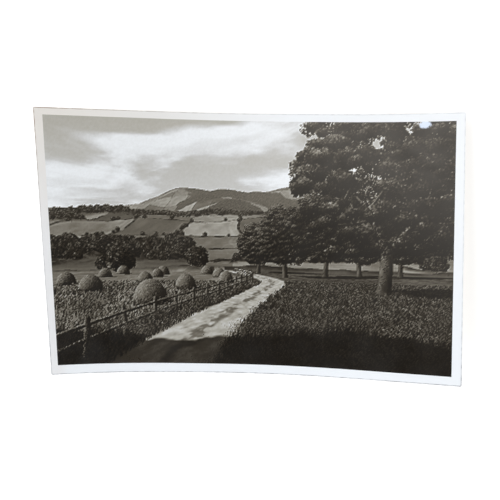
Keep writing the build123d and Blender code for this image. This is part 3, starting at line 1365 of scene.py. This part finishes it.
def add_node(tree: Tree, kind: str, inputs: dict[int | str, object] | None = None, output: int | str = 0,
             stops: Stops = (), **settings: object) -> Socket | None:
    """Add a node with its settings and links.

    Args:
        tree: the tree that takes the node.
        kind: the node's type, without the start that all types share.
        inputs: for each input, by name or number, its value or the socket that feeds it.
        output: the name or number of the output that is wanted.
        stops: the places and colours of its ramp, if it has one.
        settings: the node's own properties.

    Returns:
        The output, or nothing where the node has none.
    """
    node = tree.nodes.new(f"ShaderNode{kind}")
    for name, value in settings.items():
        setattr(node, name, value)
    for key, value in (inputs or {}).items():
        if isinstance(value, Socket):
            tree.links.new(value, node.inputs[key])
        else:
            node.inputs[key].default_value = value
    for number, (at, colour) in enumerate(stops):
        elements = node.color_ramp.elements
        stop = elements[number] if number < 2 else elements.new(at)
        stop.position, stop.color = at, linear(colour)
    return node.outputs[output] if node.outputs else None


def per_mm(size: float) -> float:
    """Give the scale of a pattern in metres whose features are so many millimetres wide."""
    return 1 / (size * MM)


def new_material(name: str) -> tuple[bpy.types.Material, Tree]:
    """Start a material with an empty node tree.

    Args:
        name: the material's name.

    Returns:
        The material and its tree.
    """
    material = bpy.data.materials.new(name)
    material.use_nodes = True
    material.node_tree.nodes.clear()
    return material, material.node_tree


def edge_distance(tree: Tree, flat: Socket, card: Card) -> Socket:
    """Measure how far a point is from the card's nearest cut edge.

    Args:
        tree: the tree that takes the nodes.
        flat: where the point lay on the flat card.
        card: the card's sizes.

    Returns:
        The distance in metres.
    """
    sides = add_node(tree, "VectorMath", {0: flat}, operation="ABSOLUTE")
    half = (card.length / 2, card.height / 2, 0)
    inward = add_node(tree, "VectorMath", {0: half, 1: sides}, operation="SUBTRACT")
    along, up = (add_node(tree, "SeparateXYZ", {0: inward}, axis) for axis in "XY")
    return add_node(tree, "Math", {0: along, 1: up}, operation="MINIMUM")


class Finish(ABC):
    """What the card's finishes share: a surface that follows where each point lay on the flat card."""

    name: str

    @abstractmethod
    def surface(self, tree: Tree, flat: Socket) -> dict[str, object]:
        """Work out the surface, which each finish does in its own way.

        Args:
            tree: the tree that takes the nodes.
            flat: where a point lay on the flat card.

        Returns:
            The shader's inputs.
        """

    def material(self) -> bpy.types.Material:
        """Build the finish.

        Returns:
            The material.
        """
        material, tree = new_material(self.name)
        flat = add_node(tree, "Attribute", output="Vector", attribute_name=FLAT_PLACE)
        shader = add_node(tree, "BsdfPrincipled", self.surface(tree, flat))
        add_node(tree, "OutputMaterial", {"Surface": shader})
        return material


@dataclass(frozen=True)
class SilverGelatin(Finish):
    """A fibre-based silver gelatin print, dried without a glossing plate.

    The silver gives warm blacks and olive greys. The gelatin over it dries to an even satin that mirrors
    broad lights softly, and handling has left it a little uneven.

    Attributes:
        card: the card's sizes.
        tones: the print's colours from its black to its white, each at its tone.
        grain: how wide the print's grain is in millimetres, drawn coarser than silver's so that it shows.
        grain_depth: how far the grain moves the tone.
        smear: how wide the marks of handling are in millimetres.
        chip: where the gelatin is chipped, from the picture's right and upper edges, in millimetres.
        chip_size: the half sizes of the chip in millimetres.
        chip_rag: how wide the raggedness of its rim is in millimetres.
        bare: the colour of the coat that shows in the chip.
        tooth: how wide the unevenness of the dried gelatin is in millimetres.
        tooth_depth: how deep it is in millimetres.
    """

    name = "silver_gelatin_air_dried"
    card: Card
    tones: Stops = (
        (0.0, "#0c0804"),
        (0.06, "#16110a"),
        (0.2, "#322c23"),
        (0.42, "#706a5e"),
        (0.68, "#b0aca1"),
        (0.82, "#cccbc8"),
        (1.0, "#f6f8f9"),
    )
    grain: float = 0.3
    grain_depth: float = 0.05
    smear: float = 11.0
    chip: Pair = (9.9, 1.0)
    chip_size: Pair = (1.9, 1.3)
    chip_rag: float = 0.8
    bare: str = "#e3ecfa"
    tooth: float = 0.5
    tooth_depth: float = 0.01

    def surface(self, tree: Tree, flat: Socket) -> dict[str, object]:
        """Work out the print's tones, its chip and its satin.

        Args:
            tree: the tree that takes the nodes.
            flat: where a point lay on the flat card.

        Returns:
            The shader's inputs.
        """
        printed = add_node(tree, "Attribute", output="Fac", attribute_name=PRINT_TONE)
        grain = add_node(tree, "TexNoise", {"Vector": flat, "Scale": per_mm(self.grain), "Detail": 2.0})
        shift = add_node(tree, "MapRange", {
            "Value": grain, "To Min": -self.grain_depth / 2, "To Max": self.grain_depth / 2,
        })
        tone = add_node(tree, "Math", {0: printed, 1: shift}, operation="ADD")
        silver = add_node(tree, "ValToRGB", {0: tone}, stops=self.tones)
        chipped = self._chipped(tree, flat)
        colour = add_node(tree, "Mix", {0: chipped, 6: silver, 7: linear(self.bare)}, 2, data_type="RGBA")
        smears = add_node(tree, "TexNoise", {
            "Vector": flat, "Scale": per_mm(self.smear), "Detail": 4.0, "Roughness": 0.6, "Distortion": 0.4,
        })
        satin = add_node(tree, "MapRange", {
            "Value": smears, "From Min": 0.3, "From Max": 0.7, "To Min": 0.27, "To Max": 0.36,
        })
        roughness = add_node(tree, "Math", {0: chipped, 1: 0.3, 2: satin}, operation="MULTIPLY_ADD")
        tooth = add_node(tree, "TexNoise", {"Vector": flat, "Scale": per_mm(self.tooth), "Detail": 3.0})
        bump = add_node(tree, "Bump", {
            "Strength": 0.25, "Distance": self.tooth_depth * MM, "Height": tooth,
        })
        return {"Base Color": colour, "Roughness": roughness, "IOR": 1.53, "Normal": bump}

    def _chipped(self, tree: Tree, flat: Socket) -> Socket:
        """Mark the small chip at the picture's upper edge, with a ragged rim.

        Args:
            tree: the tree that takes the nodes.
            flat: where a point lay on the flat card.

        Returns:
            A share that is 1 in the chip and 0 around it.
        """
        length, height = self.card.picture_size
        middle = self.card.from_picture(length / 2 - self.chip[0] * MM, height / 2 - self.chip[1] * MM)
        at = (*middle, self.card.gelatin)
        sizes = (per_mm(self.chip_size[0]), per_mm(self.chip_size[1]), 1.0)
        rag = add_node(tree, "TexNoise", {"Vector": flat, "Scale": per_mm(self.chip_rag), "Detail": 3.0})
        away = add_node(tree, "VectorMath", {0: flat, 1: at}, operation="SUBTRACT")
        in_sizes = add_node(tree, "VectorMath", {0: away, 1: sizes}, operation="MULTIPLY")
        distance = add_node(tree, "VectorMath", {0: in_sizes}, "Value", operation="LENGTH")
        ragged = add_node(tree, "Math", {0: distance, 1: rag}, operation="ADD")
        return add_node(tree, "MapRange", {
            "Value": ragged, "From Min": 1.65, "From Max": 1.2,
        }, interpolation_type="SMOOTHSTEP")


@dataclass(frozen=True)
class ClearGelatin(Finish):
    """Clear gelatin over white baryta, the unexposed border of a print.

    It looks white and satin. Along its cut edges runs a thin broken darker line, brown at the top left
    corner and grey along the foot, and the paper has toned there and down its left side.

    Attributes:
        card: the card's sizes.
        white: the colour of the clean border.
        side_toned: the colour that its left side has turned to with age.
        side_reach: how far from the left edge that starts and is full, in millimetres.
        corner_toned: the colour that its top left corner has turned to.
        corner_reach: how far along the top that starts and is full, in millimetres.
        corner_squeeze: how many times sooner it ends down the left side.
        edge_line_colour: the colour of the thin darker line along the cut edge.
        corner_line_colour: its colour at the top left corner.
        edge_line_width: how wide the line is in millimetres.
        foot_reach: how far from the lower edge it starts to thicken and is full, in millimetres.
        wear: how long the breaks in that line are in millimetres.
    """

    name = "clear_gelatin_over_baryta"
    card: Card
    white: str = "#f1f3f4"
    side_toned: str = "#eeedec"
    side_reach: Pair = (6.0, 3.0)
    corner_toned: str = "#e9e4dd"
    corner_reach: Pair = (85.0, 10.0)
    corner_squeeze: float = 2.0
    edge_line_colour: str = "#84848a"
    corner_line_colour: str = "#8c6c54"
    edge_line_width: float = 0.4
    foot_reach: Pair = (25.0, 2.0)
    wear: float = 2.2

    def surface(self, tree: Tree, flat: Socket) -> dict[str, object]:
        """Work out the toning, the thin darker line along the cut edges and the satin.

        Args:
            tree: the tree that takes the nodes.
            flat: where a point lay on the flat card.

        Returns:
            The shader's inputs.
        """
        breaks = add_node(tree, "TexNoise", {"Vector": flat, "Scale": per_mm(self.wear), "Detail": 4.0})
        left, top, squeeze = -self.card.length / 2, self.card.height / 2, self.corner_squeeze
        squeezed = add_node(tree, "Mapping", {
            "Vector": flat, "Location": (-left, -squeeze * top, 0), "Scale": (1, squeeze, 0),
        })
        from_corner = add_node(tree, "VectorMath", {0: squeezed}, "Value", operation="LENGTH")
        along, up = (add_node(tree, "SeparateXYZ", {0: flat}, axis) for axis in "XY")
        start, full = (reach * MM for reach in self.corner_reach)
        at_corner = add_node(tree, "MapRange", {"Value": from_corner, "From Min": start, "From Max": full})
        start, full = (left + reach * MM for reach in self.side_reach)
        at_left = add_node(tree, "MapRange", {"Value": along, "From Min": start, "From Max": full})
        start, full = (-top + reach * MM for reach in self.foot_reach)
        at_foot = add_node(tree, "MapRange", {
            "Value": up, "From Min": start, "From Max": full, "To Min": 0.4, "To Max": 1.0,
        })
        white, side_toned, corner_toned = map(linear, (self.white, self.side_toned, self.corner_toned))
        side = add_node(tree, "Mix", {0: at_left, 6: white, 7: side_toned}, 2, data_type="RGBA")
        paper = add_node(tree, "Mix", {0: at_corner, 6: side, 7: corner_toned}, 2, data_type="RGBA")
        # A thin broken line along the cut edges is made darker than the paper, most at the top left corner
        # and towards the lower edge
        line = add_node(tree, "MapRange", {
            "Value": edge_distance(tree, flat, self.card),
            "From Min": self.edge_line_width * MM, "From Max": 0.4 * self.edge_line_width * MM,
        })
        broken = add_node(tree, "MapRange", {
            "Value": breaks, "From Min": 0.36, "From Max": 0.62, "To Min": 0.3, "To Max": 0.85,
        })
        handled = add_node(tree, "Math", {0: at_corner, 1: at_foot}, operation="MAXIMUM")
        soiled = add_node(tree, "Math", {0: broken, 1: handled}, operation="MULTIPLY")
        on_edge_line = add_node(tree, "Math", {0: line, 1: soiled}, operation="MULTIPLY")
        grey, brown = linear(self.edge_line_colour), linear(self.corner_line_colour)
        edge_line_colour = add_node(tree, "Mix", {0: at_corner, 6: grey, 7: brown}, 2, data_type="RGBA")
        colour = add_node(tree, "Mix", {0: on_edge_line, 6: paper, 7: edge_line_colour}, 2, data_type="RGBA")
        roughness = add_node(tree, "MapRange", {"Value": breaks, "To Min": 0.28, "To Max": 0.42})
        return {"Base Color": colour, "Roughness": roughness, "IOR": 1.53}


@dataclass(frozen=True)
class BarytaCoat(Finish):
    """Barium sulphate in gelatin, brushed on the paper: a dead white coat that shows only at the cut edge.

    Attributes:
        white: the colour of the coat.
        soiled: its colour where the cut edge has been handled.
        mottle: how long the soiled stretches are in millimetres.
    """

    name = "baryta_brushed_coat"
    white: str = "#eeece6"
    soiled: str = "#a89c8a"
    mottle: float = 1.8

    def surface(self, tree: Tree, flat: Socket) -> dict[str, object]:
        """Work out where the white coat is soiled.

        Args:
            tree: the tree that takes the nodes.
            flat: where a point lay on the flat card.

        Returns:
            The shader's inputs.
        """
        mottle = add_node(tree, "TexNoise", {"Vector": flat, "Scale": per_mm(self.mottle), "Detail": 4.0})
        soil = add_node(tree, "MapRange", {"Value": mottle, "From Min": 0.4, "From Max": 0.65})
        white, soiled = linear(self.white), linear(self.soiled)
        colour = add_node(tree, "Mix", {0: soil, 6: white, 7: soiled}, 2, data_type="RGBA")
        return {"Base Color": colour, "Roughness": 0.7, "IOR": 1.5}


@dataclass(frozen=True)
class FibreCard(Finish):
    """Uncoated rag card, calendered smooth: a cream back with fibres, toned towards its edges.

    Attributes:
        card: the card's sizes.
        cream: the colour of the card.
        pale: the colour between its fibres.
        toned: the colour that its edges have turned to.
        spots: the colour of the spots that damp has left.
        fibre: the width of a fibre in millimetres, drawn coarser than real so that it shows.
        fibre_depth: how far a fibre stands up, in millimetres.
        grain: the share of its width that the fibres' noise is squeezed to along them, and its angle.
        cloud: how wide the clouding of the sheet is in millimetres.
        spot_spacing: how far apart the spots are in millimetres.
        toned_width: how far the toning reaches in millimetres.
    """

    name = "rag_card_calendered"
    card: Card
    cream: str = "#d8ccb4"
    pale: str = "#e5dcc9"
    toned: str = "#b9a584"
    spots: str = "#a5885f"
    fibre: float = 0.35
    fibre_depth: float = 0.02
    grain: Pair = (0.22, 0.4)
    cloud: float = 7.0
    spot_spacing: float = 11.0
    toned_width: float = 7.0

    def surface(self, tree: Tree, flat: Socket) -> dict[str, object]:
        """Work out the fibres and clouds of the sheet, its toning and its spots.

        Args:
            tree: the tree that takes the nodes.
            flat: where a point lay on the flat card.

        Returns:
            The shader's inputs.
        """
        squeeze, turn = self.grain
        stretched = add_node(tree, "Mapping", {
            "Vector": flat, "Scale": (squeeze, 1.0, 1.0), "Rotation": (0, 0, turn),
        })
        fibres = add_node(tree, "TexNoise", {
            "Vector": stretched, "Scale": per_mm(self.fibre), "Detail": 3.0, "Distortion": 1.5,
        })
        clouds = add_node(tree, "TexNoise", {"Vector": flat, "Scale": per_mm(self.cloud), "Detail": 5.0})
        mixed = add_node(tree, "Math", {0: fibres, 1: clouds}, operation="MULTIPLY")
        light = add_node(tree, "MapRange", {"Value": mixed, "From Min": 0.12, "From Max": 0.42})
        cream, pale, toned, spots = map(linear, (self.cream, self.pale, self.toned, self.spots))
        sheet = add_node(tree, "Mix", {0: light, 6: cream, 7: pale}, 2, data_type="RGBA")
        reach = add_node(tree, "MapRange", {
            "Value": edge_distance(tree, flat, self.card),
            "From Min": self.toned_width * MM, "From Max": 0.0, "To Min": 0.0, "To Max": 1.1,
        }, interpolation_type="SMOOTHSTEP")
        age = add_node(tree, "Math", {0: reach, 1: clouds}, operation="MULTIPLY")
        edged = add_node(tree, "Mix", {0: age, 6: sheet, 7: toned}, 2, data_type="RGBA")
        cells = add_node(tree, "TexVoronoi", {"Vector": flat, "Scale": per_mm(self.spot_spacing)})
        ragged = add_node(tree, "Math", {0: fibres, 1: 0.12, 2: cells}, operation="MULTIPLY_ADD")
        damp = add_node(tree, "MapRange", {
            "Value": ragged, "From Min": 0.115, "From Max": 0.075, "To Min": 0.0, "To Max": 0.55,
        }, interpolation_type="SMOOTHSTEP")
        colour = add_node(tree, "Mix", {0: damp, 6: edged, 7: spots}, 2, data_type="RGBA")
        bump = add_node(tree, "Bump", {
            "Strength": 0.35, "Distance": self.fibre_depth * MM, "Height": fibres,
        })
        return {"Base Color": colour, "Roughness": 0.82, "IOR": 1.47, "Normal": bump}


@dataclass(frozen=True)
class RuleInk(Finish):
    """Letterpress ink on uncoated card: a matt grey green that the paper's tooth breaks up.

    Attributes:
        ink: the colour of the full ink.
        thin: its colour where the tooth kept it thin.
        tooth: how wide the breaks are in millimetres.
    """

    name = "letterpress_ink_on_card"
    ink: str = "#3a3d36"
    thin: str = "#7d7a6b"
    tooth: float = 0.25

    def surface(self, tree: Tree, flat: Socket) -> dict[str, object]:
        """Work out where the ink is thin.

        Args:
            tree: the tree that takes the nodes.
            flat: where a point lay on the flat card.

        Returns:
            The shader's inputs.
        """
        tooth = add_node(tree, "TexNoise", {"Vector": flat, "Scale": per_mm(self.tooth), "Detail": 3.0})
        worn = add_node(tree, "MapRange", {"Value": tooth, "From Min": 0.45, "From Max": 0.7})
        ink, thin = linear(self.ink), linear(self.thin)
        colour = add_node(tree, "Mix", {0: worn, 6: ink, 7: thin}, 2, data_type="RGBA")
        return {"Base Color": colour, "Roughness": 0.75, "IOR": 1.48}


@dataclass(frozen=True)
class Lamp:
    """A soft rectangular lamp that looks at the middle of the card.

    Attributes:
        name: what the lamp does.
        at: where it hangs, in metres.
        size: its sides in metres.
        power: its power in watts.
        colour: the colour of its light.
    """

    name: str
    at: Point
    size: Pair
    power: float
    colour: str

    def hang(self) -> None:
        """Hang the lamp."""
        light = bpy.data.lights.new(self.name, "AREA")
        light.shape = "RECTANGLE"
        light.size, light.size_y = self.size
        light.energy = self.power
        light.color = linear(self.colour)[:3]
        lamp = bpy.data.objects.new(self.name, light)
        lamp.location = self.at
        lamp.rotation_euler = Vector(self.at).to_track_quat("Z", "Y").to_euler()
        bpy.context.collection.objects.link(lamp)


@dataclass(frozen=True)
class Studio:
    """The camera, the pale floor and the light.

    Attributes:
        eye: where the camera stands, in metres.
        right: the unit vector to the right of the picture that it takes.
        ahead: the unit vector that it looks along.
        lens: its focal length in millimetres.
        sensor: the width of its sensor in millimetres.
        clip: how near to the camera things are still seen, in metres.
        lamps: the lamps.
        room: the colours of the room's walls up to its dark ceiling, each at its height.
        room_light: how bright the walls are.
        glow: the strength of the light that reaches the back from under the floor.
        glow_spread: the angle that it comes from.
        floor_size: the side of the floor in metres.
        floor_gap: how far the floor lies below the card's back.
        floor_paper: the colour that the floor throws back at the card.
        floor_shade: the colour that takes the card's shadow where the floor is seen.
        floor_light: how bright the floor shines where it is seen, near the card and far from it.
        floor_fade: how far from the card that change starts and ends, in metres.
    """

    eye: Point = (0.83 * MM, 13.53 * MM, 159.14 * MM)
    right: Point = (0.99992, 0.00662, -0.01086)
    ahead: Point = (-0.01021, -0.09203, -0.9957)
    lens: float = 33.12
    sensor: float = 36.0
    clip: float = 0.01
    lamps: tuple[Lamp, ...] = (
        Lamp("window_beyond_the_top", (0.2, 0.43, 1.42), (0.85, 0.55), 5.04, "#fff8ee"),
        Lamp("fill_from_the_left", (-1.23, 0.0, 0.86), (2.4, 1.0), 25.5, "#eaf2ff"),
        Lamp("fill_from_the_front", (0.0, -1.3, 0.75), (2.0, 0.8), 13.0, "#ecf6ff"),
    )
    room: Stops = ((0.0, "#000000"), (0.02, "#fff9f1"), (0.38, "#fff9f1"), (0.66, "#000000"))
    room_light: float = 0.87
    glow: float = 2.0
    glow_spread: float = math.radians(60)
    floor_size: float = 4.0
    floor_gap: float = 0.02 * MM
    floor_paper: str = "#ededed"
    floor_shade: str = "#c9c9c9"
    floor_light: Pair = (0.62, 1.0)
    floor_fade: Pair = (0.14, 0.6)

    def build(self) -> None:
        """Set up the camera, the floor, the lamps and the room."""
        self._camera()
        self._floor()
        self._room()
        self._underglow()
        for lamp in self.lamps:
            lamp.hang()
        bpy.context.scene.view_settings.view_transform = "Standard"

    def _camera(self) -> None:
        """Stand the camera where the photograph was taken from."""
        data = bpy.data.cameras.new("camera")
        data.lens, data.sensor_width, data.sensor_fit = self.lens, self.sensor, "HORIZONTAL"
        data.clip_start = self.clip
        camera = bpy.data.objects.new("camera", data)
        right, back = Vector(self.right).normalized(), -Vector(self.ahead).normalized()
        up = back.cross(right).normalized()
        turn = Matrix((back.cross(right).cross(back), up, back)).transposed()
        camera.matrix_world = Matrix.Translation(self.eye) @ turn.to_4x4()
        bpy.context.collection.objects.link(camera)
        bpy.context.scene.camera = camera

    def _room(self) -> None:
        """Set up the room: it looks white, and its walls light the card softly and show in its gloss."""
        world = bpy.data.worlds.new("room")
        world.use_nodes = True
        tree = world.node_tree
        tree.nodes.clear()
        seen = add_node(tree, "LightPath", output="Is Camera Ray")
        direction = add_node(tree, "TexCoord", output="Generated")
        height = add_node(tree, "SeparateXYZ", {0: direction}, "Z")
        walls = add_node(tree, "ValToRGB", {0: height}, stops=self.room)
        light = add_node(tree, "Background", {"Color": walls, "Strength": self.room_light})
        white = add_node(tree, "Background", {"Color": (1, 1, 1, 1), "Strength": 1.0})
        shown = add_node(tree, "MixShader", {0: seen, 1: light, 2: white})
        add_node(tree, "OutputWorld", {"Surface": shown})
        bpy.context.scene.world = world

    def _underglow(self) -> None:
        """Light the back evenly through the floor, which throws no shadow on it."""
        light = bpy.data.lights.new("glow_under_the_floor", "SUN")
        light.energy, light.angle = self.glow, self.glow_spread
        lamp = bpy.data.objects.new("glow_under_the_floor", light)
        lamp.rotation_euler = (math.pi, 0, 0)
        bpy.context.collection.objects.link(lamp)

    def _floor(self) -> None:
        """Lay the floor, which looks white with a soft shadow from above and can't be seen from below."""
        bpy.ops.object.select_all(action="DESELECT")
        bpy.ops.mesh.primitive_plane_add(size=self.floor_size, location=(0, 0, -self.floor_gap))
        floor = bpy.context.object
        floor.name = "floor"
        material, tree = new_material("floor_white_paper")
        rays = ("Is Camera Ray", "Is Glossy Ray", "Is Transmission Ray")
        camera, glossy, through = (add_node(tree, "LightPath", output=ray) for ray in rays)
        seen = add_node(tree, "Math", {0: camera, 1: glossy}, operation="MAXIMUM")
        seen = add_node(tree, "Math", {0: seen, 1: through}, operation="MAXIMUM")
        plain = add_node(tree, "BsdfDiffuse", {"Color": linear(self.floor_paper)})
        shaded = add_node(tree, "BsdfDiffuse", {"Color": linear(self.floor_shade)})
        place = add_node(tree, "TexCoord", output="Object")
        away = add_node(tree, "VectorMath", {0: place}, "Value", operation="LENGTH")
        (near, far), (start, end) = self.floor_light, self.floor_fade
        shine = add_node(tree, "MapRange", {
            "Value": away, "From Min": start, "From Max": end, "To Min": near, "To Max": far,
        })
        glow = add_node(tree, "Emission", {"Color": (1, 1, 1, 1), "Strength": shine})
        white = add_node(tree, "AddShader", {0: glow, 1: shaded})
        shown = add_node(tree, "MixShader", {0: seen, 1: plain, 2: white})
        from_below = add_node(tree, "NewGeometry", output="Backfacing")
        clear = add_node(tree, "BsdfTransparent")
        one_sided = add_node(tree, "MixShader", {0: from_below, 1: shown, 2: clear})
        add_node(tree, "OutputMaterial", {"Surface": one_sided})
        floor.visible_shadow = False
        floor.data.materials.append(material)


def main() -> None:
    """Build the card's sub-assemblies in order, report each piece and light the scene."""
    logging.basicConfig(level=logging.INFO, format="%(message)s")
    card = Card()
    for sub_assembly in (CardStock(card), WhiteBorder(card), SilverPicture(card), AddressSide(card)):
        group = type(sub_assembly).__name__
        for piece in sub_assembly.build():
            LOG.info("%s: %s with %d faces", group, piece.name, len(piece.data.polygons))
    Studio().build()


if __name__ == "__main__":
    main()
